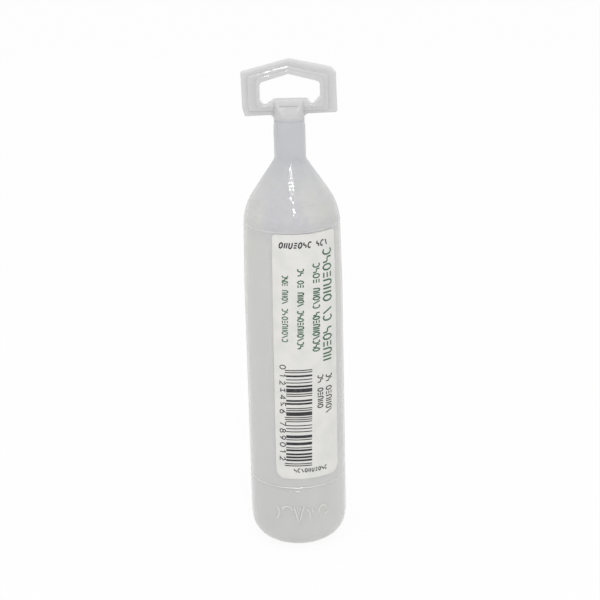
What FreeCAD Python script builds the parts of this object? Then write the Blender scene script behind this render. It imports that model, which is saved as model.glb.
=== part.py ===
"""Plastic ampoule, blown, filled and sealed in one mould, with a tear-off hanging tab and a label.

The ampoule stands on its foot ring. +Z runs up its axis, and the tab's broad face and the label face -Y.
The body, shoulder, neck, tab and seams are one hollow moulding. Liquid and label are pieces of their own.
"""
import FreeCAD, Part
import math
import os
import re

import Sketcher

# Driving dimensions in millimetres and degrees, with what each one sets
SIZES = {
    "body_radius": (8.86, "outside of the round body"),
    "taper_level": (50.0, "height from which the body narrows a little"),
    "narrowing": (0.29, "how much smaller the body's radius is where it would meet the cone"),
    "wall": (0.5, "thickness of the body and the shoulder"),
    "base_wall": (0.5, "thickness of the base over the recess"),
    "base_rounding": (4.4, "round between base and body, outside"),
    "foot_width": (0.86, "width of the ring that the ampoule stands on"),
    "recess_slope": (0.9, "how far the side of the recess in the base runs across"),
    "recess_depth": (0.8, "height of the recess above the ground"),
    "shoulder_level": (65.15, "height where wall and cone would meet in a sharp corner"),
    "shoulder_slant": (33.7, "angle between the cone and the axis"),
    "shoulder_rounding": (11.0, "round between body and cone"),
    "neck_radius": (2.75, "outside of the neck"),
    "neck_wall": (0.75, "thickness of the neck"),
    "neck_rounding": (1.5, "round between cone and neck"),
    "neck_length": (7.105, "from the cone to the tear line"),
    "bore_past_tear": (1.3, "how far the bore runs into the head above the tear line"),
    "bore_tip": (0.7, "bevel at the closed end of the bore"),
    "corner_turn": (45, "where on a rounding a two-step bevel has its middle point"),
    "floor_corner": (2.7, "size of the two-step bevel between wall and floor of the cavity"),
    "notch_depth": (0.08, "depth of the tear line"),
    "notch_height": (0.15, "height of the tear line"),
    "ring_drop": (2.65, "mould ring, below the sharp corner of the shoulder"),
    "ring_proud": (0.1, "how far the mould ring stands out"),
    "ring_half_height": (0.15, "from the crest of the mould ring to the wall above and below it"),
    "seam_proud": (0.06, "how far the two parting seams stand out"),
    "seam_width": (0.3, "width of the parting seams"),
    "seam_stop": (1.0, "where the parting seams end below the tear line"),
    "weld_width": (0.8, "pinched weld across the recess"),
    "weld_height": (0.5, "how far the weld hangs from the roof of the recess"),
    "tab_width": (16.7, "trimmed outline of the tab"),
    "tab_shift": (0.2, "centre of the trimmed outline beside the axis"),
    "trim_turn": (1.2, "how far askew the outline was trimmed"),
    "tab_underside": (0.92, "underside of the tab above the tear line"),
    "tab_side_height": (7.92, "straight side of the tab"),
    "roof_rise": (2.0, "peak of the tab above its sides"),
    "peak_shift": (0.25, "peak beside the middle of the outline"),
    "tab_corner": (0.4, "round at the square corners of the outline"),
    "tab_armpit": (0.9, "round where the tab meets the neck"),
    "web_overlap": (0.4, "how far the tab's stem runs down into the neck"),
    "web_inset": (0.1, "how far the sides of that stem lie inside the neck"),
    "top_cut_run": (0.8, "cut corner at the upper right, across"),
    "top_cut_drop": (0.8, "cut corner at the upper right, down"),
    "low_cut_run": (0.4, "cut corner at the lower left, across"),
    "low_cut_rise": (1.4, "cut corner at the lower left, up"),
    "flange_thickness": (1.0, "thin border of the tab"),
    "flange_edge": (0.25, "bevel along the outer edge of the border"),
    "band_left": (7.2, "raised band, left side beside the axis"),
    "band_right": (7.0, "raised band, right side beside the axis"),
    "band_underside": (1.55, "raised band, underside above the tear line"),
    "band_side_height": (6.35, "raised band, straight side"),
    "band_rise": (1.8, "raised band, peak above its sides"),
    "band_corner": (0.6, "raised band, round at its corners"),
    "band_thickness": (1.6, "thickness of the raised band"),
    "band_edge": (0.22, "bevel along the edge of the band"),
    "rim_margin": (0.75, "width of the bead round the hanging hole"),
    "rim_thickness": (1.9, "thickness of the bead round the hanging hole"),
    "rim_edge": (0.14, "bevel along the edge of the bead"),
    "hole_left": (5.05, "hanging hole, left side beside the axis"),
    "hole_right": (5.5, "hanging hole, right side beside the axis"),
    "hole_floor": (2.6, "hanging hole, lowest point above the tear line"),
    "hole_side_top": (6.8, "hanging hole, top of its sides above the tear line"),
    "hole_rise": (1.47, "hanging hole, peak above its sides"),
    "hole_corner": (0.8, "hanging hole, upper corners"),
    "pocket_corner": (0.3, "hanging hole, corners beside the head"),
    "left_pocket_rise": (0.8, "slanted lower left corner of the hole"),
    "left_pocket_run": (0.55, "same, across"),
    "right_pocket_rise": (1.35, "slanted lower right corner of the hole"),
    "right_pocket_run": (1.2, "same, across"),
    "head_height": (3.55, "top of the closed head above the tear line"),
    "head_rounding": (0.4, "round along the top of the head"),
    "dip_left": (3.3, "slanted left side of the head inside the hole, its middle beside the axis"),
    "dip_left_run": (0.7, "half of how far that side runs across"),
    "dip_right": (3.6, "slanted right side of the head inside the hole, its middle beside the axis"),
    "dip_right_run": (0.3, "half of how far that side runs across"),
    "thinning_start": (0.1, "how far outside the neck the thinning of the head starts, at the tear line"),
    "waist_level": (1.7, "where the head thins faster, above the tear line"),
    "waist_depth": (2.4, "half the depth of the head there"),
    "waist_rounding": (3.0, "round between its two slants"),
    "head_depth": (1.1, "half the depth of the head at its top"),
    "pinch_level": (2.65, "pinched line on the head above the tear line"),
    "pinch_width": (3.4, "length of the pinched line"),
    "pinch_height": (0.1, "half the height of the pinched line at the surface"),
    "pinch_depth": (0.16, "depth of the pinched line"),
    "fill_level": (50.0, "height of the liquid"),
    "fill_gap": (0.02, "clearance round the liquid"),
    "label_gap": (0.01, "adhesive between body and label"),
    "label_paper": (0.09, "thickness of the label"),
    "label_drop": (0.05, "upper edge of the label below the mould ring"),
    "label_height": (47.3, "height of the label"),
    "label_left": (25.8, "left edge of the label, degrees from the front"),
    "label_right": (57.4, "right edge of the label, degrees from the front"),
    "label_top_corner": (0.8, "round at the upper corners of the label"),
    "label_low_corner": (1.8, "round at the lower corners of the label"),
}

TOLERANCE = 1e-4
FULL_TURN = 360.0
SECTION_TURN = 45.0

doc = FreeCAD.newDocument("ampoule")
sheet = doc.addObject("Spreadsheet::Sheet", "sizes")
for row, (alias, (size, note)) in enumerate(SIZES.items(), start=1):
    sheet.set(f"A{row}", str(size))
    sheet.setAlias(f"A{row}", alias)
    sheet.set(f"B{row}", note)
doc.recompute()


def bind(text):
    """Turn a formula written in the sheet's aliases into one that any object can use."""
    return re.sub(r"[a-z_]+", lambda word: f"sizes.{word[0]}" if word[0] in SIZES else word[0], text)


def value(text):
    """Work out a formula written in the sheet's aliases."""
    return float(sheet.evalExpression(bind(text)))


# Heights and radii that several outlines share, as formulas in the sheet's aliases
SHOULDER_RADIUS = "(body_radius - narrowing)"
CONE_RUN = f"({SHOULDER_RADIUS} - neck_radius)"
NECK_FOOT = f"(shoulder_level + {CONE_RUN} / tan(shoulder_slant))"
TEAR_LINE = f"({NECK_FOOT} + neck_length)"
FLOOR = "(recess_depth + base_wall)"
BORE_RADIUS = "(neck_radius - neck_wall)"
RING_LEVEL = "(shoulder_level - ring_drop)"
FOOT_RADIUS = "(body_radius - base_rounding - foot_width)"
RECESS_RADIUS = f"({FOOT_RADIUS} - recess_slope)"
LABEL_TOP = f"({RING_LEVEL} - ring_half_height - label_drop)"


def wall_radius(level, inward="0"):
    """Return a formula for the body's outside at a height, or for a surface so far inside it."""
    share = f"max(0, {level} - taper_level) / (shoulder_level - taper_level)"
    return f"(body_radius - narrowing * {share} - {inward})"


def plane_of(body, role):
    """Return one of a body's own origin planes or axes."""
    return next(item for item in body.Origin.OriginFeatures if item.Role == role)


def new_body(label):
    """Add an empty body whose name is the name of its piece."""
    body = doc.addObject("PartDesign::Body", label)
    body.Label = label
    return body


def tangent_lengths(points, radii):
    """Return how far each rounded corner's arc reaches along its two sides."""
    lengths = []
    for index, (point, radius) in enumerate(zip(points, radii)):
        to_previous = points[index - 1] - point
        to_next = points[(index + 1) % len(points)] - point
        lengths.append(radius / math.tan(to_previous.getAngle(to_next) / 2) if radius else 0.0)
    return lengths


def section(body, name, corners):
    """Draw an outline for turning about the axis, in a plane clear of the parting plane and the front."""
    sketch = outline(body, name, "XZ_Plane", corners)
    turn = FreeCAD.Rotation(FreeCAD.Vector(0, 1, 0), SECTION_TURN)
    sketch.AttachmentOffset = FreeCAD.Placement(FreeCAD.Vector(), turn)
    return sketch


def outline(body, name, plane, corners):
    """Draw a closed outline of straight sides with rounded corners.

    Each corner is a tuple of two formulas for its place and, where it is rounded, one for its radius.
    """
    sketch = body.newObject("Sketcher::SketchObject", name)
    sketch.AttachmentSupport = [(plane_of(body, plane), "")]
    sketch.MapMode = "FlatFace"
    places = [(corner[0], corner[1], corner[2] if len(corner) > 2 else None) for corner in corners]
    points = [FreeCAD.Vector(value(across), value(up), 0) for across, up, _ in places]
    radii = [value(radius) if radius else 0.0 for _, _, radius in places]
    reach = tangent_lengths(points, radii)
    count = len(points)
    sides = []
    for index, point in enumerate(points):
        after = (index + 1) % count
        along = (points[after] - point).normalize()
        start, end = point + along * reach[index], points[after] - along * reach[after]
        sides.append(sketch.addGeometry(Part.LineSegment(start, end), False))
    for index, (across, up, radius) in enumerate(places):
        before, point = sides[index - 1], points[index]
        if radius is None:
            sketch.addConstraint(Sketcher.Constraint("Coincident", before, 2, sides[index], 1))
            pin_down(sketch, sides[index], across, up, point)
        else:
            round_corner(sketch, before, sides[index], places[index], point, radii[index], reach[index])
    return sketch


def round_corner(sketch, before, after, place, point, radius, reach):
    """Join two sides by a tangent arc, and hold the sharp corner behind it as a construction point."""
    across, up, radius_text = place
    arrive = (point - sketch.Geometry[before].StartPoint).normalize()
    leave = (sketch.Geometry[after].EndPoint - point).normalize()
    start, end = point - arrive * reach, point + leave * reach
    inward = (leave - arrive).normalize()
    centre = point + inward * math.hypot(radius, reach)
    turns_left = arrive.cross(leave).z > 0
    first, last = (start, end) if turns_left else (end, start)
    angles = [math.atan2(spot.y - centre.y, spot.x - centre.x) for spot in (first, last)]
    circle = Part.Circle(centre, FreeCAD.Vector(0, 0, 1), radius)
    arc = sketch.addGeometry(Part.ArcOfCircle(circle, angles[0], angles[1]), False)
    arc_start, arc_end = (1, 2) if turns_left else (2, 1)
    corner = sketch.addGeometry(Part.Point(point), True)
    sketch.addConstraint(Sketcher.Constraint("Tangent", before, 2, arc, arc_start))
    sketch.addConstraint(Sketcher.Constraint("Tangent", arc, arc_end, after, 1))
    sketch.addConstraint(Sketcher.Constraint("PointOnObject", corner, 1, before))
    sketch.addConstraint(Sketcher.Constraint("PointOnObject", corner, 1, after))
    number = sketch.addConstraint(Sketcher.Constraint("Radius", arc, radius))
    sketch.setExpression(f"Constraints[{number}]", bind(radius_text))
    pin_down(sketch, corner, across, up, point)


def pin_down(sketch, geometry, across, up, point):
    """Hold the first point of a sketch element at two formulas from the sketch's origin."""
    for kind, text, size in (("DistanceX", across, point.x), ("DistanceY", up, point.y)):
        if text == "0":
            axis = -2 if kind == "DistanceX" else -1
            sketch.addConstraint(Sketcher.Constraint("PointOnObject", geometry, 1, axis))
        else:
            number = sketch.addConstraint(Sketcher.Constraint(kind, -1, 1, geometry, 1, size))
            sketch.setExpression(f"Constraints[{number}]", bind(text))


def revolve(body, sketch, name, kind="Revolution"):
    """Turn an outline about the axis, to add material or, as a Groove, to take it away."""
    feature = body.newObject(f"PartDesign::{kind}", name)
    feature.Profile = sketch
    feature.ReferenceAxis = (plane_of(body, "Z_Axis"), [""])
    feature.Angle = FULL_TURN
    doc.recompute()
    return feature


def extrude(body, sketch, name, length, kind="Pad"):
    """Give an outline a thickness, half to each side of its plane, to add or, as a Pocket, to cut."""
    feature = body.newObject(f"PartDesign::{kind}", name)
    feature.Profile = sketch
    feature.Midplane = True
    feature.setExpression("Length", bind(length))
    doc.recompute()
    return feature


def break_edges(body, base, name, width, wanted):
    """Chamfer the edges of the last feature that a test picks out."""
    edges = [f"Edge{number}" for number, edge in enumerate(base.Shape.Edges, start=1) if wanted(edge)]
    feature = body.newObject("PartDesign::Chamfer", name)
    feature.Base = (base, edges)
    feature.setExpression("Size", bind(width))
    doc.recompute()
    return feature


def lies_at(edge, axis, place):
    """Tell whether an edge lies in the plane where one coordinate has the given value."""
    box = edge.BoundBox
    low, high = {"x": (box.XMin, box.XMax), "y": (box.YMin, box.YMax), "z": (box.ZMin, box.ZMax)}[axis]
    return abs(low - place) < TOLERANCE and abs(high - place) < TOLERANCE


def on_both_faces(thickness):
    """Return a test for edges that lie in the front or the back face of a plate."""
    half = value(thickness) / 2
    return lambda edge: lies_at(edge, "y", half) or lies_at(edge, "y", -half)


def shift(level):
    """Return a formula for a height that is measured up from the tear line."""
    return f"{TEAR_LINE} + {level}"


def moulding():
    """The hollow ampoule: body, shoulder, neck, head, tab, seams and recessed base in one solid."""
    body = new_body("ampoule")
    add_tab(body)
    outside = section(body, "outside", [
        ("0", "recess_depth"),
        (RECESS_RADIUS, "recess_depth"),
        (FOOT_RADIUS, "0"),
        ("body_radius", "0", "base_rounding"),
        ("body_radius", "taper_level"),
        (SHOULDER_RADIUS, "shoulder_level", "shoulder_rounding"),
        ("neck_radius", NECK_FOOT, "neck_rounding"),
        ("neck_radius", shift("head_height"), "head_rounding"),
        ("0", shift("head_height")),
    ])
    revolve(body, outside, "bottle")
    cut_hole(body)
    thin_head(body)
    pinch_head(body)
    add_ring(body)
    add_seams(body)
    add_weld(body)
    hollow_out(body)
    return body


def add_ring(body):
    """Mould ring round the foot of the shoulder."""
    radius = wall_radius(RING_LEVEL)
    ring = section(body, "ring_section", [
        (f"{radius} - 2 * ring_proud", f"{RING_LEVEL} - 3 * ring_half_height"),
        (f"{radius} + ring_proud", RING_LEVEL),
        (f"{radius} - 2 * ring_proud", f"{RING_LEVEL} + 3 * ring_half_height"),
    ])
    revolve(body, ring, "mould_ring")


def add_seams(body):
    """The two parting seams down the sides."""
    lift = "seam_proud * tan(shoulder_slant / 2)"
    side = [
        ("(body_radius + seam_proud)", "base_rounding"),
        ("(body_radius + seam_proud)", "taper_level"),
        (f"({SHOULDER_RADIUS} + seam_proud)", f"shoulder_level + {lift}", "shoulder_rounding + seam_proud"),
        ("(neck_radius + seam_proud)", f"{NECK_FOOT} + {lift}", "neck_rounding - seam_proud"),
        ("(neck_radius + seam_proud)", f"{TEAR_LINE} - seam_stop"),
    ]
    other_side = [(f"0 - {corner[0]}", *corner[1:]) for corner in reversed(side)]
    seams = outline(body, "seam_outline", "XZ_Plane", side + other_side)
    extrude(body, seams, "parting_seams", "seam_width")


def add_weld(body):
    """Pinched weld that runs across the recess in the base, along the parting plane."""
    lowest = "recess_depth - weld_height"
    weld = outline(body, "weld_outline", "YZ_Plane", [
        ("weld_width / 2", "recess_depth + base_wall / 2"),
        ("0 - weld_width / 2", "recess_depth + base_wall / 2"),
        ("0 - weld_width / 2", lowest),
        ("weld_width / 2", lowest),
    ])
    extrude(body, weld, "base_weld", f"2 * {RECESS_RADIUS}")


def add_tab(body):
    """Flat hanging tab: thin trimmed border, raised band, beaded rim, and the hole through them."""
    side_top = "(tab_underside + tab_side_height)"
    left, right = "tab_shift - tab_width / 2", "tab_shift + tab_width / 2"
    stem = "(neck_radius - web_inset)"
    border = outline(body, "border", "XZ_Plane", [
        (f"0 - {stem}", "0 - web_overlap"),
        (stem, "0 - web_overlap"),
        (stem, "tab_underside", "tab_armpit"),
        (right, "tab_underside", "tab_corner"),
        (right, f"{side_top} - top_cut_drop"),
        (f"{right} - top_cut_run", f"{side_top} + 2 * roof_rise * top_cut_run / tab_width"),
        ("tab_shift + peak_shift", f"{side_top} + roof_rise"),
        (left, side_top, "tab_corner"),
        (left, "tab_underside + low_cut_rise"),
        (f"{left} + low_cut_run", "tab_underside"),
        (f"0 - {stem}", "tab_underside", "tab_armpit"),
    ])
    askew = FreeCAD.Rotation(FreeCAD.Vector(0, 0, 1), value("trim_turn"))
    border.AttachmentOffset = FreeCAD.Placement(FreeCAD.Vector(0, value(TEAR_LINE), 0), askew)
    border.setExpression("AttachmentOffset.Base.y", bind(TEAR_LINE))
    border.setExpression("AttachmentOffset.Rotation.Angle", bind("trim_turn"))
    flange = extrude(body, border, "flange", "flange_thickness")
    break_edges(body, flange, "flange_bevel", "flange_edge", on_both_faces("flange_thickness"))

    band_top = "band_underside + band_side_height"
    band = outline(body, "band_outline", "XZ_Plane", [
        ("0 - band_left", shift("band_underside"), "band_corner"),
        ("band_right", shift("band_underside"), "band_corner"),
        ("band_right", shift(band_top), "band_corner"),
        ("0", shift(f"{band_top} + band_rise")),
        ("0 - band_left", shift(band_top), "band_corner"),
    ])
    raised = extrude(body, band, "band", "band_thickness")
    break_edges(body, raised, "band_bevel", "band_edge", on_both_faces("band_thickness"))

    rim = outline(body, "rim_outline", "XZ_Plane", [
        ("0 - hole_left - rim_margin", shift("hole_floor - rim_margin / 2"), "hole_corner"),
        ("hole_right + rim_margin", shift("hole_floor - rim_margin / 2"), "hole_corner"),
        ("hole_right + rim_margin", shift("hole_side_top + rim_margin"), "hole_corner + rim_margin / 2"),
        ("0", shift("hole_side_top + hole_rise + rim_margin")),
        ("0 - hole_left - rim_margin", shift("hole_side_top + rim_margin"), "hole_corner + rim_margin / 2"),
    ])
    bead = extrude(body, rim, "rim", "rim_thickness")
    break_edges(body, bead, "rim_bevel", "rim_edge", on_both_faces("rim_thickness"))


def cut_hole(body):
    """Hanging hole: a peaked roof, straight sides and a dip on each side of the head."""
    floor, top = shift("hole_floor"), shift("head_height")
    hole = outline(body, "hole_outline", "XZ_Plane", [
        ("0", shift("hole_side_top + hole_rise")),
        ("0 - hole_left", shift("hole_side_top"), "hole_corner"),
        ("0 - hole_left", shift("hole_floor + left_pocket_rise"), "pocket_corner"),
        ("left_pocket_run - hole_left", floor, "pocket_corner"),
        ("0 - dip_left - dip_left_run", floor, "pocket_corner"),
        ("0 - dip_left + dip_left_run", top, "pocket_corner"),
        ("dip_right - dip_right_run", top, "pocket_corner"),
        ("dip_right + dip_right_run", floor, "pocket_corner"),
        ("hole_right - right_pocket_run", floor, "pocket_corner"),
        ("hole_right", shift("hole_floor + right_pocket_rise"), "pocket_corner"),
        ("hole_right", shift("hole_side_top"), "hole_corner"),
    ])
    extrude(body, hole, "hanging_hole", "4 * neck_radius", kind="Pocket")


def cut_both_faces(body, name, width, corners):
    """Cut an outline of depths and heights across the front of the head, and again across its back."""
    for face, sign in (("front", "0 -"), ("back", "0 +")):
        places = [(f"{sign} {corner[0]}", *corner[1:]) for corner in corners]
        cut = outline(body, f"{face}_{name}_outline", "YZ_Plane", places)
        extrude(body, cut, f"{face}_{name}", width, kind="Pocket")


def thin_head(body):
    """The head thins from the tear line up to the tab's own thickness, in two slants rounded into one."""
    clear, top = "(2 * neck_radius)", shift("head_height")
    cut_both_faces(body, "slant", "4 * neck_radius", [
        ("(neck_radius + thinning_start)", TEAR_LINE),
        ("waist_depth", shift("waist_level"), "waist_rounding"),
        ("head_depth", top),
        (clear, top),
        (clear, TEAR_LINE),
    ])


def pinch_head(body):
    """Pinched line across the front and the back of the head, where the hot wall was closed."""
    share = "(pinch_level - waist_level) / (head_height - waist_level)"
    surface = f"waist_depth - (waist_depth - head_depth) * {share}"
    cut_both_faces(body, "pinch", "pinch_width", [
        (f"({surface} - pinch_depth)", shift("pinch_level")),
        (f"({surface} + pinch_depth)", shift("pinch_level + pinch_height")),
        (f"({surface} + pinch_depth)", shift("pinch_level - pinch_height")),
    ])


def stepped_corner(inward, level, size):
    """Points of a corner between floor and wall that is bevelled in two steps, about as if rounded."""
    radius = wall_radius(f"{level} + {size}", inward)
    halfway = f"{size} * (1 - cos(corner_turn))"
    return [
        (f"{radius} - {size}", level),
        (f"{radius} - {halfway}", f"{level} + {halfway}"),
        (radius, f"{level} + {size}"),
    ]


def hollow_out(body):
    """The sealed cavity, the bore up into the head, and the notch that the head tears off at."""
    corner = "(shoulder_level - wall * tan(shoulder_slant / 2))"
    cut = "(shoulder_rounding - wall) * (tan(shoulder_slant / 2) - tan(shoulder_slant / 4))"
    narrow = "(wall - neck_wall * cos(shoulder_slant)) / sin(shoulder_slant)"
    inside = section(body, "inside", [
        ("0", FLOOR),
        *stepped_corner("wall", FLOOR, "floor_corner"),
        ("body_radius - wall", "taper_level"),
        (wall_radius(f"{corner} - {cut}", "wall"), f"{corner} - {cut}"),
        (f"{wall_radius(corner, 'wall')} - {cut} * sin(shoulder_slant)",
         f"{corner} + {cut} * cos(shoulder_slant)"),
        (BORE_RADIUS, f"{NECK_FOOT} - {narrow}", "neck_rounding"),
        (BORE_RADIUS, shift("bore_past_tear - bore_tip")),
        (f"{BORE_RADIUS} - bore_tip", shift("bore_past_tear")),
        ("0", shift("bore_past_tear")),
    ])
    revolve(body, inside, "cavity", kind="Groove")
    notch = section(body, "notch_section", [
        ("neck_radius - notch_depth", TEAR_LINE),
        ("neck_radius + notch_depth", f"{TEAR_LINE} - notch_height"),
        ("neck_radius + notch_depth", f"{TEAR_LINE} + notch_height"),
    ])
    revolve(body, notch, "tear_notch", kind="Groove")


def fill():
    """The liquid, from the floor of the cavity up to its level."""
    body = new_body("saline")
    inward = "(wall + fill_gap)"
    half = outline(body, "liquid_outline", "XZ_Plane", [
        ("0", f"{FLOOR} + fill_gap"),
        *stepped_corner(inward, f"{FLOOR} + fill_gap", "floor_corner"),
        (wall_radius("fill_level", inward), "fill_level"),
        ("0", "fill_level"),
    ])
    revolve(body, half, "liquid")
    return body


def sticker():
    """The paper label, stuck on the body: a flat cut with rounded corners, bent to the body's curve."""
    body = new_body("label")
    low, high = f"({LABEL_TOP} - label_height)", LABEL_TOP
    half_width = f"{wall_radius(f'({low} + {high}) / 2')} * sin((label_left + label_right) / 2)"
    cut = outline(body, "cut_outline", "XZ_Plane", [
        (f"0 - {half_width}", low, "label_low_corner"),
        (half_width, low, "label_low_corner"),
        (half_width, high, "label_top_corner"),
        (f"0 - {half_width}", high, "label_top_corner"),
    ])
    blank = body.newObject("PartDesign::Pad", "blank")
    blank.Profile = cut
    blank.setExpression("Length", bind("2 * body_radius"))
    doc.recompute()
    levels = [f"({low} - wall)", "taper_level", f"({high} + wall)"]
    inner = [(f"({wall_radius(level)} + label_gap)", level) for level in levels]
    outer = [(f"{radius} + label_paper", level) for radius, level in inner]
    axis, clear = [("0", level) for _, level in inner], [("3 * body_radius", level) for _, level in inner]
    for name, near_side, far_side in (("under_paper", axis, inner), ("over_paper", outer, clear)):
        around = [near_side[0], *far_side, *reversed(near_side)][:-1]
        waste = outline(body, f"{name}_section", "XZ_Plane", around)
        revolve(body, waste, name, kind="Groove")
    turn = FreeCAD.Rotation(FreeCAD.Vector(0, 0, 1), value("(label_right - label_left) / 2"))
    body.Placement = FreeCAD.Placement(FreeCAD.Vector(), turn)
    doc.recompute()
    return body


def check(pieces):
    """Stop if any object failed or any piece is not one valid solid."""
    for item in doc.Objects:
        if "Invalid" in item.State or "Error" in item.State:
            raise RuntimeError(f"{item.Label} failed: {item.State} {item.getStatusString()}")
    for piece in pieces:
        shape = piece.Shape
        if shape.isNull() or not shape.isValid() or len(shape.Solids) != 1:
            raise RuntimeError(f"{piece.Label} is not one valid solid")


pieces = [moulding(), fill(), sticker()]
doc.recompute()
check(pieces)
os.makedirs("parts", exist_ok=True)
for piece in pieces:
    piece.Shape.exportStep(f"parts/{piece.Label}.step")
    box = piece.Shape.BoundBox
    print(f"{piece.Label}: {piece.Shape.Volume:.1f} mm3, x {box.XMin:.2f} to {box.XMax:.2f}, "
          f"y {box.YMin:.2f} to {box.YMax:.2f}, z {box.ZMin:.2f} to {box.ZMax:.2f}")
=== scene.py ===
"""Looks of a milky plastic saline ampoule with a hanging tab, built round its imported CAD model."""
import logging
import math
from collections.abc import Iterable, Mapping, Sequence
from dataclasses import dataclass, field
from enum import Enum
from itertools import accumulate

import bmesh
import bpy
from mathutils import Matrix, Vector


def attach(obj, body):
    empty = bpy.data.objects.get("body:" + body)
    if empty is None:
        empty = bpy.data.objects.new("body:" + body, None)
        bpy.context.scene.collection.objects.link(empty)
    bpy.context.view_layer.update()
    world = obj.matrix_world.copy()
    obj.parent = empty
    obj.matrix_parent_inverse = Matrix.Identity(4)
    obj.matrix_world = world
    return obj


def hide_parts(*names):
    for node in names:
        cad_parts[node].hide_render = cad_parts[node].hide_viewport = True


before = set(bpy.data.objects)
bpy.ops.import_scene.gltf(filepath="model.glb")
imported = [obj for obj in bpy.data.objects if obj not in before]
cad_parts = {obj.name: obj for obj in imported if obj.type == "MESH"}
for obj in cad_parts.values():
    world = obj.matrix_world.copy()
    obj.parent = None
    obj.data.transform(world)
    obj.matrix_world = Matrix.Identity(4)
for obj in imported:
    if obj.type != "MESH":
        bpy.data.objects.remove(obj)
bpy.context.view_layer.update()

MM = 0.001
BODY = "root"
SAME_PLACE = MM / 1000
LABEL_MIDDLE = 15.8
# Widths of the bar code's parts, counted in its narrowest bars
GUARD_MODULES = 3
MIDDLE_MODULES = 5
DIGIT_MODULES = 7
HALF_DIGITS = 6
HALF_MODULES = HALF_DIGITS * DIGIT_MODULES
ALL_MODULES = 2 * GUARD_MODULES + MIDDLE_MODULES + 2 * HALF_MODULES

Color = tuple[float, float, float, float]
Point = tuple[float, float]

log = logging.getLogger("ampoule")


class Node(Enum):
    """The solids that the CAD model brings."""
    AMPOULE = "ampoule"
    SALINE = "saline"
    LABEL = "label"


class Slot(Enum):
    """The material slots of the record."""
    PLASTIC = "milky_plastic"
    LIQUID = "saline"
    PAPER = "label_paper"


class Sign(Enum):
    """Plain shapes that stand in for printed letters, as strokes in a cell one unit high."""
    RING = (((0.33, 0), (0.1, 0.15), (0.02, 0.5), (0.1, 0.85), (0.33, 1), (0.56, 0.85), (0.64, 0.5),
             (0.56, 0.15), (0.33, 0)),)
    ARCH = (((0.06, 0), (0.06, 0.75), (0.2, 1), (0.46, 1), (0.6, 0.75), (0.6, 0)),)
    CRESCENT = (((0.04, 0.1), (0.33, 0), (0.56, 0.15), (0.64, 0.5), (0.56, 0.85), (0.33, 1), (0.04, 0.9)),)
    LADDER = (((0.05, 0.08), (0.6, 0.08)), ((0.05, 0.5), (0.6, 0.5)), ((0.05, 0.92), (0.6, 0.92)))
    POSTS = (((0.12, 0), (0.12, 1)), ((0.54, 0), (0.54, 1)))
    STEP = (((0.08, 1), (0.08, 0.62), (0.2, 0.5), (0.48, 0.5), (0.6, 0.38), (0.6, 0)),)
    SLANT = (((0.05, 1), (0.6, 0)),)


@dataclass(frozen=True)
class Grain:
    """Soft random values: waves per millimetre, levels of detail and stretch along each axis."""
    scale: float
    detail: float = 2.0
    stretch: tuple[float, float, float] = (1.0, 1.0, 1.0)


def srgb(red: float, green: float, blue: float) -> Color:
    """Turn a given colour into the linear colour that shaders take.

    Args:
        red, green, blue: its parts, 0 to 255.

    Returns:
        The linear colour, with an alpha of 1.
    """
    linear = [(part / 255 / 12.92) if part <= 10 else ((part / 255 + 0.055) / 1.055) ** 2.4
              for part in (red, green, blue)]
    return (*linear, 1.0)


class Signal:
    """A shader socket that takes part in sums, so that shader maths reads as plain expressions."""

    def __init__(self, tree: "Tree", socket: bpy.types.NodeSocket) -> None:
        """Wrap one output socket of a tree."""
        self.tree = tree
        self.socket = socket

    def _math(self, operation: str, *values: "Signal | float") -> "Signal":
        """Add the Math node of one operation."""
        return self.tree.node("ShaderNodeMath", {"operation": operation}, dict(enumerate(values)))

    def __add__(self, other: "Signal | float") -> "Signal":
        """Signal + other."""
        return self._math("ADD", self, other)

    def __radd__(self, other: float) -> "Signal":
        """Other + signal."""
        return self._math("ADD", other, self)

    def __sub__(self, other: "Signal | float") -> "Signal":
        """Signal - other."""
        return self._math("SUBTRACT", self, other)

    def __rsub__(self, other: float) -> "Signal":
        """Other - signal."""
        return self._math("SUBTRACT", other, self)

    def __mul__(self, other: "Signal | float") -> "Signal":
        """Signal * other."""
        return self._math("MULTIPLY", self, other)

    def __rmul__(self, other: float) -> "Signal":
        """Other * signal."""
        return self._math("MULTIPLY", other, self)

    def __or__(self, other: "Signal | float") -> "Signal":
        """The larger of two signals."""
        return self._math("MAXIMUM", self, other)

    def __ror__(self, other: float) -> "Signal":
        """The larger of a number and a signal."""
        return self._math("MAXIMUM", other, self)

    def size(self) -> "Signal":
        """The signal without its sign."""
        return self | 0.0 - self

    def ease(self, low: float, high: float) -> "Signal":
        """Rise smoothly from 0 at low to 1 at high, or the other way round when low is the larger."""
        inputs = {"Value": self, "From Min": low, "From Max": high}
        return self.tree.node("ShaderNodeMapRange", {"interpolation_type": "SMOOTHSTEP"}, inputs)


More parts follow.
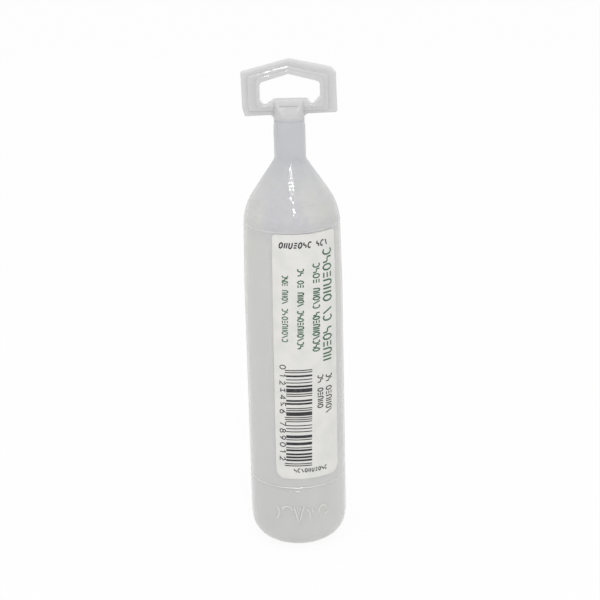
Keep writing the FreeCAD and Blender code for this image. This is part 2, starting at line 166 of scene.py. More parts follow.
class Tree:
    """The node tree of one material or world."""

    def __init__(self, tree: bpy.types.NodeTree) -> None:
        """Take over a tree and empty it."""
        self.tree = tree
        tree.nodes.clear()

    def node(self, kind: str, settings: Mapping[str, object] | None = None,
             inputs: Mapping[int | str, object] | None = None, output: int | str = 0) -> Signal:
        """Add one node.

        Args:
            kind: the node's type name.
            settings: its own settings, set first.
            inputs: for each input socket, by name or number, a Signal to link or a plain value.
            output: the output socket that the result stands for.

        Returns:
            The signal of that output.
        """
        made = self.tree.nodes.new(kind)
        for name, value in (settings or {}).items():
            setattr(made, name, value)
        for key, value in (inputs or {}).items():
            if isinstance(value, Signal):
                self.tree.links.new(value.socket, made.inputs[key])
            else:
                made.inputs[key].default_value = value
        return Signal(self, made.outputs[output] if made.outputs else None)

    def blend(self, factor: Signal | float, first: object, second: object) -> Signal:
        """Mix two colours."""
        return self.node("ShaderNodeMix", {"data_type": "RGBA"}, {0: factor, 6: first, 7: second}, 2)

    def millimetres(self, stretch: tuple[float, float, float] = (1.0, 1.0, 1.0)) -> Signal:
        """Give the place on the object in millimetres.

        Args:
            stretch: how much its X, Y and Z count for.

        Returns:
            The place as a vector.
        """
        place = self.node("ShaderNodeTexCoord", output="Object")
        scale = tuple(part / MM for part in stretch)
        return self.node("ShaderNodeVectorMath", {"operation": "MULTIPLY"}, {0: place, 1: scale})

    def part_of_place(self, axis: str) -> Signal:
        """One part of the place in millimetres: X to the right, Y to the back or Z up."""
        return self.node("ShaderNodeSeparateXYZ", inputs={0: self.millimetres()}, output=axis)

    def height(self) -> Signal:
        """The height above the ground in millimetres."""
        return self.part_of_place("Z")

    def noise(self, grain: Grain) -> Signal:
        """Soft random values about 0.5."""
        inputs = {"Vector": self.millimetres(grain.stretch), "Scale": grain.scale, "Detail": grain.detail}
        return self.node("ShaderNodeTexNoise", inputs=inputs)

    def bump(self, height: Signal, depth: float) -> Signal:
        """Turn a height signal into normals, for relief of so many millimetres."""
        inputs = {"Height": height, "Distance": depth * MM, "Strength": 1.0}
        return self.node("ShaderNodeBump", inputs=inputs, output="Normal")


def new_material(name: str) -> tuple[bpy.types.Material, Tree]:
    """Add an empty material.

    Args:
        name: its name.

    Returns:
        The material and its tree.
    """
    material = bpy.data.materials.new(name)
    material.use_nodes = True
    return material, Tree(material.node_tree)


@dataclass(frozen=True)
class MilkyPlastic:
    """Thin blown polyethylene: milky, softly glossy, uneven on the shoulder and bluish at the neck, with
    painted shade on its right side and along the shoulder's ripple creases.

    Pairs of numbers give where a change starts and ends, in millimetres. Shares say how strongly a tint
    lies on the one under it.
    """
    name: str = "milky_plastic"
    upper: Color = srgb(217, 217, 214)
    lower: Color = srgb(213, 213, 212)
    body_rise: Point = (8.0, 58.0)
    warm: Color = srgb(218, 217, 210)
    warm_share: float = 0.5
    clouds: Grain = Grain(0.09, 2.0, (1.0, 1.0, 0.35))
    cloud_edge: Point = (0.5, 0.75)
    # painted shade: a darker tone laid on the body's right side, from a little above the foot upwards
    shade: Color = srgb(199, 198, 193)
    painted_shade_share: float = 0.45
    painted_shade_side: Point = (3.0, 7.0)
    painted_shade_rise: Point = (12.0, 22.0)
    lilac: Color = srgb(207, 206, 213)
    lilac_share: float = 0.8
    patches: Grain = Grain(0.16, 3.0)
    patch_edge: Point = (0.38, 0.62)
    # painted shade: darker bands along the shoulder's ripple creases
    painted_crease_shade: Color = srgb(200, 201, 205)
    painted_crease_shade_share: float = 0.4
    painted_crease_shade_fall: Point = (71.0, 66.0)
    ripples: Grain = Grain(0.5, 3.0, (0.3, 0.3, 1.3))
    ripple_edges: tuple[Point, Point] = ((0.475, 0.5), (0.525, 0.5))
    shoulder_rise: Point = (60.0, 64.0)
    shoulder_fall: Point = (78.0, 74.0)
    neck: Color = srgb(197, 198, 203)
    neck_share: float = 0.85
    neck_rise: Point = (64.9, 74.9)
    tab: Color = srgb(203, 203, 203)
    tear_line: Point = (80.5, 80.8)
    tear_bow: float = 0.364
    head: Color = srgb(205, 205, 205)
    head_side: Point = (4.2, 2.8)
    head_fall: Point = (85.25, 84.25)
    trim_rise: Point = (91.2, 91.5)
    trim_slope: float = 0.25
    trim_roughness: float = 0.5
    smudges: Grain = Grain(0.4)
    smudge_roughness: float = 0.04
    least_roughness: float = 0.04
    dents: Grain = Grain(1.1, 0.0)
    dent_depth: float = 0.22
    shoulder_dents: float = 0.43
    tab_dents: float = 0.2
    body_dents: float = 0.03
    scatter: float = 0.6
    scatter_reach: float = 2.5

    def make(self) -> bpy.types.Material:
        """Build the material.

        Returns:
            The new material.
        """
        material, tree = new_material(self.name)
        height = tree.height()
        across = tree.part_of_place("X")
        off_axis = across.size()
        on_shoulder = height.ease(*self.shoulder_rise) * height.ease(*self.shoulder_fall)
        bowed_height = height - tree.part_of_place("Y").size() * self.tear_bow
        on_tab = bowed_height.ease(*self.tear_line)
        on_head = on_tab * off_axis.ease(*self.head_side) * height.ease(*self.head_fall)
        trimmed = (height + off_axis * self.trim_slope).ease(*self.trim_rise)
        color = self._body_color(tree, height, across, on_shoulder)
        color = tree.blend(height.ease(*self.neck_rise) * self.neck_share, color, self.neck)
        color = tree.blend(on_head, tree.blend(on_tab, color, self.tab), self.head)
        dented = on_shoulder * self.shoulder_dents + on_tab * self.tab_dents + self.body_dents
        smudged = tree.noise(self.smudges) * self.smudge_roughness + self.least_roughness
        surface = tree.node("ShaderNodeBsdfPrincipled", inputs={
            "Base Color": color,
            "Roughness": smudged + trimmed * self.trim_roughness,
            "Normal": tree.bump(tree.noise(self.dents) * dented, self.dent_depth),
            "IOR": 1.51,
            "Transmission Weight": 0.05,
            "Subsurface Weight": self.scatter,
            "Subsurface Radius": (1.0, 1.0, 1.0),
            "Subsurface Scale": self.scatter_reach * MM,
            "Sheen Weight": 0.05,
            "Sheen Roughness": 0.4,
        })
        tree.node("ShaderNodeOutputMaterial", inputs={"Surface": surface})
        return material

    def _body_color(self, tree: Tree, height: Signal, across: Signal, on_shoulder: Signal) -> Signal:
        """Colour the body, with its clouds, painted shade on its right side, lilac patches and painted
        shade along the ripple creases.

        Args:
            tree: the tree to add the nodes to.
            height: the height above the ground.
            across: the distance to the right of the axis.
            on_shoulder: 1 on the shoulder and 0 away from it.

        Returns:
            The colour.
        """
        clouds = tree.noise(self.clouds).ease(*self.cloud_edge)
        # mask of the painted shade on the right side
        painted_shade_mask = across.ease(*self.painted_shade_side) * height.ease(*self.painted_shade_rise)
        patches = tree.noise(self.patches).ease(*self.patch_edge) * on_shoulder
        ripples = tree.noise(self.ripples)
        rising, falling = [ripples.ease(*edge) for edge in self.ripple_edges]
        # mask of the painted shade in the ripple creases
        painted_crease_shade_mask = rising * falling * on_shoulder * height.ease(*self.painted_crease_shade_fall)
        color = tree.blend(height.ease(*self.body_rise), self.lower, self.upper)
        color = tree.blend(clouds * self.warm_share, color, self.warm)
        color = tree.blend(painted_shade_mask * self.painted_shade_share, color, self.shade)
        color = tree.blend(patches * self.lilac_share, color, self.lilac)
        return tree.blend(painted_crease_shade_mask * self.painted_crease_shade_share, color, self.painted_crease_shade)


@dataclass(frozen=True)
class ClearLiquid:
    """Salt water."""
    tint: Color = srgb(244, 248, 250)
    clearest: Color = srgb(250, 251, 251)
    clouds: Grain = Grain(0.05)

    def make(self) -> bpy.types.Material:
        """Build the material.

        Returns:
            The new material.
        """
        material, tree = new_material("clear_liquid")
        color = tree.blend(tree.noise(self.clouds), self.tint, self.clearest)
        surface = tree.node("ShaderNodeBsdfPrincipled", inputs={
            "Base Color": color, "Roughness": 0.02, "IOR": 1.33, "Transmission Weight": 1.0})
        tree.node("ShaderNodeOutputMaterial", inputs={"Surface": surface})
        return material


@dataclass(frozen=True)
class LabelPaper:
    """Coated white paper with a fine grain."""
    white: Color = srgb(225, 224, 220)
    shade: Color = srgb(217, 217, 214)
    mottle: Grain = Grain(0.35, 4.0)
    mottle_edge: Point = (0.35, 0.7)
    fibres: Grain = Grain(6.0, 3.0, (1.0, 1.0, 0.6))
    fibre_depth: float = 0.008
    gloss: Grain = Grain(0.8)
    gloss_roughness: float = 0.1
    least_roughness: float = 0.4

    def make(self) -> bpy.types.Material:
        """Build the material.

        Returns:
            The new material.
        """
        material, tree = new_material("label_paper")
        color = tree.blend(tree.noise(self.mottle).ease(*self.mottle_edge), self.white, self.shade)
        roughness = tree.noise(self.gloss) * self.gloss_roughness + self.least_roughness
        surface = tree.node("ShaderNodeBsdfPrincipled", inputs={
            "Base Color": color, "Roughness": roughness, "IOR": 1.45,
            "Normal": tree.bump(tree.noise(self.fibres), self.fibre_depth)})
        tree.node("ShaderNodeOutputMaterial", inputs={"Surface": surface})
        return material


@dataclass(frozen=True)
class PrintInk:
    """Printing ink, laid a little unevenly on the paper."""
    name: str
    full: Color
    thin: Color
    cover: Grain = Grain(1.6, 4.0)
    cover_edge: Point = (0.4, 0.75)
    gloss: Grain = Grain(3.0)
    gloss_roughness: float = 0.1
    least_roughness: float = 0.42

    def make(self) -> bpy.types.Material:
        """Build the material.

        Returns:
            The new material.
        """
        material, tree = new_material(self.name)
        color = tree.blend(tree.noise(self.cover).ease(*self.cover_edge), self.full, self.thin)
        roughness = tree.noise(self.gloss) * self.gloss_roughness + self.least_roughness
        surface = tree.node("ShaderNodeBsdfPrincipled", inputs={
            "Base Color": color, "Roughness": roughness, "IOR": 1.45})
        tree.node("ShaderNodeOutputMaterial", inputs={"Surface": surface})
        return material


@dataclass(frozen=True)
class StudioWhite:
    """The pale floor, white to the camera and in reflections, which keeps a soft shadow."""
    paint: Color = (0.86, 0.86, 0.86, 1.0)
    glow: float = 0.93

    def make(self) -> bpy.types.Material:
        """Build the material.

        Returns:
            The new material.
        """
        material, tree = new_material("studio_white")
        diffuse = tree.node("ShaderNodeBsdfDiffuse", inputs={"Color": self.paint})
        light = tree.node("ShaderNodeEmission", inputs={"Strength": 1.0})
        factor = seen(tree) * self.glow
        surface = tree.node("ShaderNodeMixShader", inputs={0: factor, 1: diffuse, 2: light})
        tree.node("ShaderNodeOutputMaterial", inputs={"Surface": surface})
        return material


def seen(tree: Tree) -> Signal:
    """Tell the rays that show a thing to the camera, straight, mirrored or through glass.

    Args:
        tree: the tree to add the nodes to.

    Returns:
        1 for such rays and 0 for others.
    """
    rays = [tree.node("ShaderNodeLightPath", output=f"Is {kind} Ray")
            for kind in ("Camera", "Glossy", "Transmission")]
    return rays[0] | rays[1] | rays[2]


@dataclass(frozen=True)
class Wall:
    """The body's round wall: places given along it and up it become points in space.

    Fields are in millimetres, apart from the direction of the middle in degrees and the two leans.
    """
    radius: float = 8.86
    taper_level: float = 50.0
    upper_radius: float = 8.57
    upper_level: float = 65.15
    middle: float = 0.0
    level: float = 38.4
    lean: float = 0.0
    fall: float = 0.0

    def place(self, along: float, up: float, proud: float) -> Vector:
        """Find a point.

        Args:
            along: distance to the right of the middle, round the wall.
            up: height.
            proud: distance outside the wall.

        Returns:
            The point in metres.
        """
        turn = math.radians(self.middle) + (along + self.lean * (up - self.level)) / self.radius
        height = up - self.fall * along
        tapered = max(0.0, height - self.taper_level) / (self.upper_level - self.taper_level)
        reach = self.radius - (self.radius - self.upper_radius) * tapered + proud
        return Vector((reach * math.sin(turn), -reach * math.cos(turn), height)) * MM


@dataclass
class Stroke:
    """One band laid on a wall along a line, with the same cross-section all along it.

    The profile lists points as (share of the width, height above the wall), from one side to the other.
    """
    line: Sequence[Point]
    width: float
    profile: Sequence[Point]
    step: float = 0.45

    def add_to(self, mesh: bmesh.types.BMesh, wall: Wall) -> None:
        """Build the band.

        Args:
            mesh: the mesh that it goes into.
            wall: the wall under it.
        """
        points = self._even_points()
        closed = len(points) > 2 and math.dist(points[0], points[-1]) < self.step / 100
        if closed:
            points = points[:-1]
        rows = []
        for index, (along, up) in enumerate(points):
            side_along, side_up = self._across(points, index, closed)
            rows.append([
                mesh.verts.new(wall.place(along + share * self.width * side_along,
                                          up + share * self.width * side_up, proud))
                for share, proud in self.profile])
        pairs = list(zip(rows, rows[1:])) + ([(rows[-1], rows[0])] if closed else [])
        count = len(self.profile)
        for near, far in pairs:
            for first in range(count):
                second = (first + 1) % count
                mesh.faces.new((near[first], near[second], far[second], far[first]))
        if not closed:
            mesh.faces.new(rows[0])
            mesh.faces.new(list(reversed(rows[-1])))

    def _even_points(self) -> list[Point]:
        """Split the line's long runs, so that it follows the wall.

        Returns:
            The points of the line, old and new.
        """
        points = [self.line[0]]
        for start, end in zip(self.line, self.line[1:]):
            count = max(1, math.ceil(abs(end[0] - start[0]) / self.step))
            points += [(start[0] + (end[0] - start[0]) * part / count,
                        start[1] + (end[1] - start[1]) * part / count) for part in range(1, count + 1)]
        return points

    def _across(self, points: Sequence[Point], index: int, closed: bool) -> Point:
        """Find the direction across the line at one of its points.

        Args:
            points: the points of the line.
            index: which of them it is.
            closed: whether the line runs back to its start.

        Returns:
            The direction, longer than 1 where the line turns.
        """
        last = len(points) - 1
        before = points[index - 1] if index or closed else None
        after = points[(index + 1) % len(points)] if index < last or closed else None
        here = points[index]
        runs = [(here[0] - before[0], here[1] - before[1])] if before else []
        runs += [(after[0] - here[0], after[1] - here[1])] if after else []
        sides = [Vector((-run[1], run[0])).normalized() for run in runs]
        across = sum(sides, Vector((0, 0))).normalized()
        stretch = 1 / max(0.5, across.dot(sides[0]))
        return across.x * stretch, across.y * stretch


def add_piece(name: str, mesh: bmesh.types.BMesh, material: bpy.types.Material,
              smooth: bool = False) -> bpy.types.Object:
    """Turn a mesh into a piece that rides on the ampoule.

    Args:
        name: the piece's name.
        mesh: its mesh, which is used up.
        material: its finish.
        smooth: whether its faces are shaded round.

    Returns:
        The new object.
    """
    bmesh.ops.recalc_face_normals(mesh, faces=mesh.faces)
    data = bpy.data.meshes.new(name)
    mesh.to_mesh(data)
    mesh.free()
    data.materials.append(material)
    data.shade_smooth() if smooth else data.shade_flat()
    piece = bpy.data.objects.new(name, data)
    bpy.context.scene.collection.objects.link(piece)
    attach(piece, BODY)
    log.info("added %s", name)
    return piece


def dress(node: Node, material: bpy.types.Material) -> None:
    """Give a solid of the CAD model its finish."""
    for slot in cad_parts[node.value].material_slots:
        slot.material = material
    log.info("dressed %s", node.value)


def build_mesh(strokes: Iterable[Stroke], wall: Wall) -> bmesh.types.BMesh:
    """Lay strokes on a wall in one mesh.

    Args:
        strokes: the bands to lay.
        wall: the wall under them.

    Returns:
        The new mesh.
    """
    mesh = bmesh.new()
    for stroke in strokes:
        stroke.add_to(mesh, wall)
    return mesh


def ring_line(middle: Point, size: Point, start: float = 0.0, end: float = 360.0,
              step: float = 20.0) -> list[Point]:
    """Put points along an ellipse.

    Args:
        middle: its middle.
        size: its half width and half height.
        start: the direction of the first point, in degrees.
        end: the direction of the last point.
        step: about how far apart the directions are.

    Returns:
        The points in order.
    """
    count = max(2, round((end - start) / step))
    turns = [math.radians(start + (end - start) * part / count) for part in range(count + 1)]
    return [(middle[0] + size[0] * math.cos(turn), middle[1] + size[1] * math.sin(turn)) for turn in turns]


@dataclass
class Moulding:
    """The blown plastic body with its tab, and the fine relief moulded on its wall."""
    finish: MilkyPlastic = field(default_factory=MilkyPlastic)
    wall: Wall = field(default_factory=Wall)
    ridge_level: float = 13.15
    ridge_width: float = 0.34
    mark_level: float = 7.9
    mark_width: float = 0.42
    mark_drop: float = 1.5
    mark_rise: float = 1.4
    # The relief's lower colour is lighter than the body's: painted highlight on the raised marks and the
    # mould line.
    relief: MilkyPlastic = MilkyPlastic("raised_plastic_painted_highlight", lower=srgb(225, 225, 222), scatter=0.1)
    round_parts: int = 72
    dash_drop: float = 0.7
    dashes: Sequence[Point] = ((-1.6, -1.25), (-0.45, 0.25))
    bead: Sequence[Point] = ((-0.5, -0.061), (-0.24, 0.08), (0.0, 0.1), (0.24, 0.08), (0.5, -0.061))
    ridge: Sequence[Point] = ((-0.5, -0.075), (-0.1, 0.1), (0.1, 0.1), (0.5, -0.075))

    def build(self) -> None:
        """Dress the CAD solid and add the relief."""
        dress(Node.AMPOULE, self.finish.make())
        raised = self.relief.make()
        round_wall = 2 * math.pi * self.wall.radius
        part_length = round_wall / self.round_parts
        line = [(part_length * part, self.ridge_level) for part in range(self.round_parts + 1)]
        ridge = build_mesh([Stroke(line, self.ridge_width, self.ridge, step=2 * part_length)], self.wall)
        bmesh.ops.remove_doubles(ridge, verts=ridge.verts, dist=SAME_PLACE)
        add_piece("lower_mould_line", ridge, raised)
        add_piece("foot_relief", build_mesh(self._marks(), self.wall), raised)

    def _marks(self) -> list[Stroke]:
        """Draw the plain raised shapes above the foot, and the dashes under the ridge.

        Returns:
            Their strokes.
        """
        level = self.mark_level
        low, high = level - self.mark_drop, level + self.mark_rise
        lines = [
            ring_line((-4.6, level), (0.8, 1.35), -60, 60),
            ring_line((-2.2, level + 0.5), (1.0, 0.9), 10, 170),
            [(-0.95, high), (0.0, low - 0.5), (0.95, high)],
            [(-0.35, high), (0.0, level - 0.3), (0.35, high)],
            [(1.5, high - 0.5), (2.05, level - 0.1), (2.05, low + 0.3)],
            [(2.55, high - 0.6), (2.55, level + 0.1)],
            ring_line((4.6, level), (0.8, 1.1), 10, 180),
            ring_line((4.9, level + 0.2), (0.9, 1.0), -90, 20),
        ]
        dash_level = self.ridge_level - self.dash_drop
        dashes = [[(start, dash_level), (end, dash_level)] for start, end in self.dashes]
        return ([Stroke(line, self.mark_width, self.bead) for line in lines]
                + [Stroke(line, self.ridge_width, self.ridge) for line in dashes])


@dataclass
class Fill:
    """The liquid inside."""
    finish: ClearLiquid = field(default_factory=ClearLiquid)

    def build(self) -> None:
        """Dress the CAD solid."""
        dress(Node.SALINE, self.finish.make())


@dataclass
class Label:
    """The paper label, stuck on slightly askew, with a faint crease near its upper left corner."""
    finish: LabelPaper = field(default_factory=LabelPaper)
    wall: Wall = Wall(middle=LABEL_MIDDLE, lean=0.0087, fall=0.012)
    half_width: float = 6.38
    bottom: float = 15.05
    top: float = 62.25
    low_corner: float = 1.8
    top_corner: float = 0.8
    corner_parts: int = 6
    under: float = 0.012
    over: float = 0.075
    row_step: float = 0.5
    columns: int = 26
    crease_level: float = 57.2
    crease_depth: float = 0.02
    crease_reach: float = 0.45
    crease_end: float = -3.2
    crease_fade: float = 3.0
    sharp_turn: float = 40.0

    def build(self) -> bpy.types.Object:
        """Build the sheet in place of its CAD solid.

        Returns:
            The sheet.
        """
        mesh = bmesh.new()
        sides = []
        for height in (self.under, self.over):
            sides.append([self._row(mesh, up, height) for up in self._levels()])
        inner, outer = sides
        for rows in sides:
            for low, high in zip(rows, rows[1:]):
                for left in range(self.columns):
                    mesh.faces.new((low[left], low[left + 1], high[left + 1], high[left]))
        loops = [self._rim(rows) for rows in (inner, outer)]
        count = len(loops[0])
        for index in range(count):
            after = (index + 1) % count
            mesh.faces.new((loops[0][index], loops[0][after], loops[1][after], loops[1][index]))
        sheet = add_piece("paper_label", mesh, self.finish.make(), smooth=True)
        sheet.data.set_sharp_from_angle(angle=math.radians(self.sharp_turn))
        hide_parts(Node.LABEL.value)
        return sheet

    def _levels(self) -> list[float]:
        """Space the rows, close together in the rounded corners.

        Returns:
            Their heights, from the lowest up.
        """
        steps = [math.radians(90 * part / self.corner_parts) for part in range(1, self.corner_parts)]
        low = [self.bottom] + [self.bottom + self.low_corner * (1 - math.cos(turn)) for turn in steps]
        high = [self.top - self.top_corner * (1 - math.cos(turn)) for turn in reversed(steps)] + [self.top]
        start, end = self.bottom + self.low_corner, self.top - self.top_corner
        count = round((end - start) / self.row_step)
        return low + [start + (end - start) * part / count for part in range(count + 1)] + high

    def _row(self, mesh: bmesh.types.BMesh, up: float, height: float) -> list[bmesh.types.BMVert]:
        """Add one row of points across the sheet, shorter in the corners.

        Args:
            mesh: the mesh that they go into.
            up: the row's height.
            height: its distance from the wall.

        Returns:
            The points from left to right.
        """
        inset = 0.0
        for corner, gap in ((self.low_corner, up - self.bottom), (self.top_corner, self.top - up)):
            if gap < corner:
                inset = corner - math.sqrt(max(0.0, corner ** 2 - (corner - gap) ** 2))
        half = self.half_width - inset
        row = []
        for column in range(self.columns + 1):
            along = half * (2 * column / self.columns - 1)
            ended = math.exp((along - self.crease_end) * self.crease_fade)
            fold = math.exp(-((up - self.crease_level) / self.crease_reach) ** 2) / (1 + ended)
            row.append(mesh.verts.new(self.wall.place(along, up, height + self.crease_depth * fold)))
        return row

    def _rim(self, rows: Sequence[Sequence[bmesh.types.BMVert]]) -> list[bmesh.types.BMVert]:
        """Pick the points round the edge of a sheet.

        Args:
            rows: its rows of points.

        Returns:
            Those on the edge, in order.
        """
        right = [row[-1] for row in rows[1:]]
        left = [row[0] for row in reversed(rows[:-1])]
        return list(rows[0]) + right + list(reversed(rows[-1]))[1:] + left[:-1]


@dataclass
class Line:
    """One line of print.

    Each word has its start, its end and its number of signs. A level line runs across the label, and the
    others run down it.
    """
    foot: float
    tall: float
    words: Sequence[tuple[float, float, int]]
    weight: float = 0.17
    level: bool = False
    slant: float = 0.0


@dataclass
class Print:
    """The print on the label: plain shapes in the rhythm of words, and a bar code of a counting number."""
    wall: Wall = Wall(middle=LABEL_MIDDLE, lean=0.0245, fall=0.018)
    under: float = 0.07
    over: float = 0.086
    green: PrintInk = PrintInk("green_ink", srgb(52, 92, 64), srgb(84, 122, 94))
    black: PrintInk = PrintInk("black_ink", srgb(34, 35, 39), srgb(62, 64, 68))
    green_lines: Sequence[Line] = (
        Line(2.91, 1.95, ((59.0, 48.9, 7), (47.9, 45.2, 2), (44.2, 37.5, 5)), 0.3),
        Line(0.82, 1.3, ((56.7, 52.75, 4), (52.0, 48.1, 5), (47.45, 39.9, 10)), 0.24),
        Line(-2.04, 1.08, ((55.95, 54.45, 2), (53.7, 52.2, 2), (51.5, 48.75, 4), (48.1, 40.65, 10)), 0.22),
        Line(-4.8, 1.02, ((54.7, 52.65, 4), (51.95, 49.25, 4), (48.5, 47.15, 2), (46.95, 42.0, 7)), 0.18),
    )
    black_lines: Sequence[Line] = (
        Line(3.55, 1.35, ((35.1, 33.6, 2), (32.7, 27.35, 6)), 0.2),
        Line(1.78, 1.1, ((35.3, 33.7, 2), (32.7, 28.7, 5)), 0.2),
        Line(60.25, 1.0, ((0.6, -5.5, 7), (4.05, 1.35, 3)), 0.24, True, 0.2),
        Line(16.75, 0.72, ((3.74, -2.82, 10),), 0.17, True),
    )
    number: str = "0123456789012"
    bar_span: Point = (36.72, 17.6)
    bar_reach: Point = (-4.07, 0.68)
    guard_reach: float = -4.33
    bar_share: float = 0.92
    digit_foot: float = -5.24
    digit_tall: float = 1.05
    digit_wide: float = 0.75
    digit_weight: float = 0.17
    first_digit: float = 37.6
    sign_wide: float = 0.66
    sign_slender: float = 0.62
    sign_share: float = 0.8
    signs: Sequence[Sign] = (Sign.CRESCENT, Sign.STEP, Sign.RING, Sign.LADDER, Sign.ARCH, Sign.POSTS,
                             Sign.RING, Sign.SLANT)

    def build(self) -> None:
        """Lay both inks on the label."""
        green = [stroke for line in self.green_lines for stroke in self._line(line)]
        black = [stroke for line in self.black_lines for stroke in self._line(line)]
        black += self._bars() + self._digits()
        add_piece("green_print", build_mesh(green, self.wall), self.green.make())
        add_piece("black_print", build_mesh(black, self.wall), self.black.make())

    def _profile(self) -> list[Point]:
        """The flat cross-section of a printed line."""
        return [(-0.5, self.under), (-0.5, self.over), (0.5, self.over), (0.5, self.under)]

    def _line(self, line: Line) -> list[Stroke]:
        """Fill the words of a line with signs, in turn.

        Args:
            line: the line of print.

        Returns:
            The strokes of its signs.
        """
        strokes, turn = [], 0
        for start, end, count in line.words:
            pitch = (start - end) / count
            width = min(self.sign_slender * line.tall, self.sign_share * pitch) / self.sign_wide
            for cell in range(count):
                for path in self.signs[turn % len(self.signs)].value:
                    points = [self._spot(line, start - cell * pitch, across * width, up)
                              for across, up in path]
                    strokes.append(Stroke(points, line.weight, self._profile()))
                turn += 1
        return strokes

    def _spot(self, line: Line, start: float, across: float, up: float) -> Point:
        """Place a point of a sign: upright lines read downwards, and level ones stand on their heads.

        Args:
            line: the line of print.
            start: where the sign starts along it.
            across: distance from there, in millimetres.
            up: share of the line's height.

        Returns:
            The point on the wall.
        """
        rise = up * line.tall
        if line.level:
            return start - across - rise * line.slant, line.foot - rise + line.tall / 2
        return line.foot + rise, start - across

    def _module(self, count: float) -> float:
        """The level that lies so many modules below the top of the bar code."""
        top, bottom = self.bar_span
        return top - (top - bottom) * count / ALL_MODULES

    def _bars(self) -> list[Stroke]:
        """Draw the bars of the number, in the usual thirteen-digit code.

        Returns:
            A stroke for each bar.
        """
        left = ("0001101", "0011001", "0010011", "0111101", "0100011",
                "0110001", "0101111", "0111011", "0110111", "0001011")
        swap = str.maketrans("01", "10")
        first = "".join(left[int(digit)] for digit in self.number[1:-HALF_DIGITS])
        second = "".join(left[int(digit)].translate(swap) for digit in self.number[-HALF_DIGITS:])
        modules = f"101{first}01010{second}101"
        runs = [len(run) for run in modules.replace("01", "0 1").replace("10", "1 0").split()]
        strokes = []
        for start, run in zip([0, *accumulate(runs)], runs):
            if modules[start] == "0":
                continue
            inside = (start - GUARD_MODULES) % (HALF_MODULES + MIDDLE_MODULES) < HALF_MODULES
            middle = self._module(start + run / 2)
            reach = self.bar_reach[0] if inside else self.guard_reach
            path = [(reach, middle), (self.bar_reach[1], middle)]
            width = self._module(0) - self._module(run)
            strokes.append(Stroke(path, width * self.bar_share, self._profile()))
        return strokes

    def _digits(self) -> list[Stroke]:
        """Draw the number beside its bars, reading downwards.

        Returns:
            The strokes of its digits.
        """
        starts = [self.first_digit]
        for half in (GUARD_MODULES, GUARD_MODULES + HALF_MODULES + MIDDLE_MODULES):
            starts += [self._module(half + 1 + DIGIT_MODULES * part) for part in range(HALF_DIGITS)]
        strokes = []
        for digit, start in zip(self.number, starts):
            for path in DIGITS[int(digit)]:
                points = [(self.digit_foot + up * self.digit_tall, start - across * self.digit_wide)
                          for across, up in path]
                strokes.append(Stroke(points, self.digit_weight, self._profile()))
        return strokes


DIGITS: tuple[Sequence[Sequence[Point]], ...] = (
    (ring_line((0.5, 0.5), (0.5, 0.5), step=30),),
    (((0.15, 0.8), (0.55, 1.0), (0.55, 0.0)),),
    (ring_line((0.5, 0.72), (0.45, 0.28), 170, -30, 25) + [(0.05, 0.0), (1.0, 0.0)],),
    (ring_line((0.45, 0.76), (0.42, 0.24), 160, -90, 30),
     ring_line((0.45, 0.26), (0.48, 0.26), 90, -160, 30)),
    (((0.75, 0.0), (0.75, 1.0), (0.0, 0.3), (1.0, 0.3)),),
    ([(0.9, 1.0), (0.15, 1.0), (0.1, 0.58)] + ring_line((0.45, 0.32), (0.48, 0.32), 120, -150, 30),),
    (ring_line((0.5, 0.3), (0.45, 0.3), 90, 450, 30), [(0.75, 1.0), (0.15, 0.55), (0.05, 0.3)]),
    (((0.0, 1.0), (0.95, 1.0), (0.35, 0.0)),),
    (ring_line((0.5, 0.76), (0.38, 0.24), step=30), ring_line((0.5, 0.27), (0.48, 0.27), step=30)),
    (ring_line((0.5, 0.7), (0.45, 0.3), -90, 270, 30), [(0.95, 0.7), (0.85, 0.45), (0.25, 0.0)]),
)


@dataclass(frozen=True)
class Lamp:
    """A small lamp: azimuth and elevation in degrees, width and height in metres, and power in watts."""
    name: str
    direction: Point
    size: Point
    power: float
    distance: float = 0.6


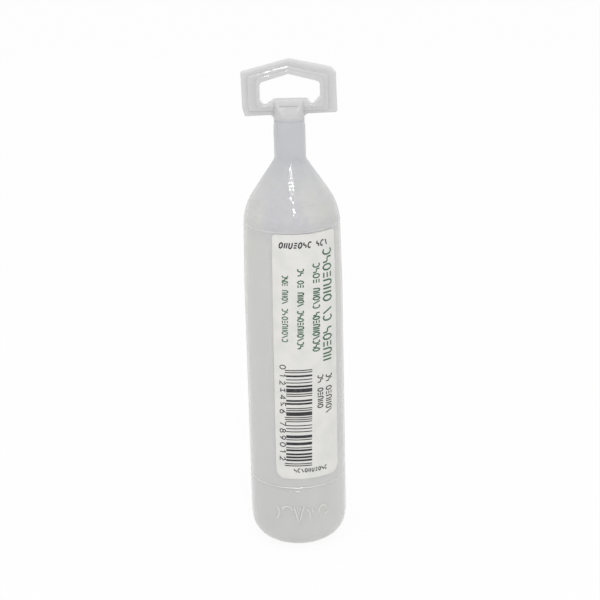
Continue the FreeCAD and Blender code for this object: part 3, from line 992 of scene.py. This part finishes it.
@dataclass
class Studio:
    """Floor, soft light all round, two small lamps, a long one overhead, and the photograph's camera."""
    surroundings: float = 0.86
    lamps: Sequence[Lamp] = (
        Lamp("high_lamp", (6.5, 52.0), (0.032, 0.032), 0.3),
        Lamp("low_lamp", (6.5, 30.0), (0.032, 0.032), 0.3),
        Lamp("overhead_lamp", (-13.3, 77.4), (0.35, 0.04), 0.44),
    )
    lamp_target: Vector = Vector((0.0, 0.0, 60.0)) * MM
    target: Vector = Vector((1.13, 0.0, 46.95)) * MM
    distance: float = 0.32
    elevation: float = 20.0
    roll: float = -1.4
    lens: float = 104.88
    clip: Point = (0.01, 20.0)
    floor_radius: float = 3.0
    floor_sides: int = 64

    def build(self) -> None:
        """Set up the whole studio."""
        self._floor()
        self._surroundings()
        for lamp in self.lamps:
            self._light(lamp)
        self._camera()
        bpy.context.scene.view_settings.view_transform = "Standard"

    def _toward(self, azimuth: float, elevation: float) -> Vector:
        """The direction from the object to a place in front of it, right of it or above it."""
        turn, rise = math.radians(azimuth), math.radians(elevation)
        return Vector((math.sin(turn) * math.cos(rise), -math.cos(turn) * math.cos(rise), math.sin(rise)))

    def _floor(self) -> None:
        """A wide pale floor."""
        mesh = bmesh.new()
        bmesh.ops.create_circle(mesh, cap_ends=True, segments=self.floor_sides, radius=self.floor_radius)
        data = bpy.data.meshes.new("floor")
        mesh.to_mesh(data)
        mesh.free()
        data.materials.append(StudioWhite().make())
        floor = bpy.data.objects.new("floor", data)
        bpy.context.scene.collection.objects.link(floor)

    def _surroundings(self) -> None:
        """Even light from everywhere, which looks white where it is seen."""
        world = bpy.data.worlds.new("surroundings")
        world.use_nodes = True
        bpy.context.scene.world = world
        tree = Tree(world.node_tree)
        strength = seen(tree) * (1.0 - self.surroundings) + self.surroundings
        light = tree.node("ShaderNodeBackground", inputs={"Strength": strength, "Color": (1, 1, 1, 1)})
        tree.node("ShaderNodeOutputWorld", inputs={"Surface": light})

    def _light(self, lamp: Lamp) -> None:
        """Hang one lamp, turned towards the object.

        Args:
            lamp: its sizes, place and power.
        """
        data = bpy.data.lights.new(lamp.name, "AREA")
        data.shape, data.size, data.size_y, data.energy = "RECTANGLE", *lamp.size, lamp.power
        light = bpy.data.objects.new(lamp.name, data)
        direction = self._toward(*lamp.direction)
        light.location = self.lamp_target + direction * lamp.distance
        light.rotation_euler = direction.to_track_quat("Z", "Y").to_euler()
        bpy.context.scene.collection.objects.link(light)

    def _camera(self) -> None:
        """The camera of the photograph, a little rolled."""
        data = bpy.data.cameras.new("camera")
        data.lens = self.lens
        data.clip_start, data.clip_end = self.clip
        camera = bpy.data.objects.new("camera", data)
        back = self._toward(0.0, self.elevation)
        level = Vector((1.0, 0.0, 0.0))
        turned = Matrix.Rotation(math.radians(self.roll), 3, back)
        right, up = turned @ level, turned @ back.cross(level)
        pose = Matrix((right, up, back)).transposed().to_4x4()
        pose.translation = self.target + back * self.distance
        camera.matrix_world = pose
        bpy.context.scene.collection.objects.link(camera)
        bpy.context.scene.camera = camera


def main() -> None:
    """Build every piece in order."""
    logging.basicConfig(level=logging.INFO)
    for part in (Moulding(), Fill(), Label(), Print(), Studio()):
        part.build()
        log.info("built %s", type(part).__name__)


if __name__ == "__main__":
    main()
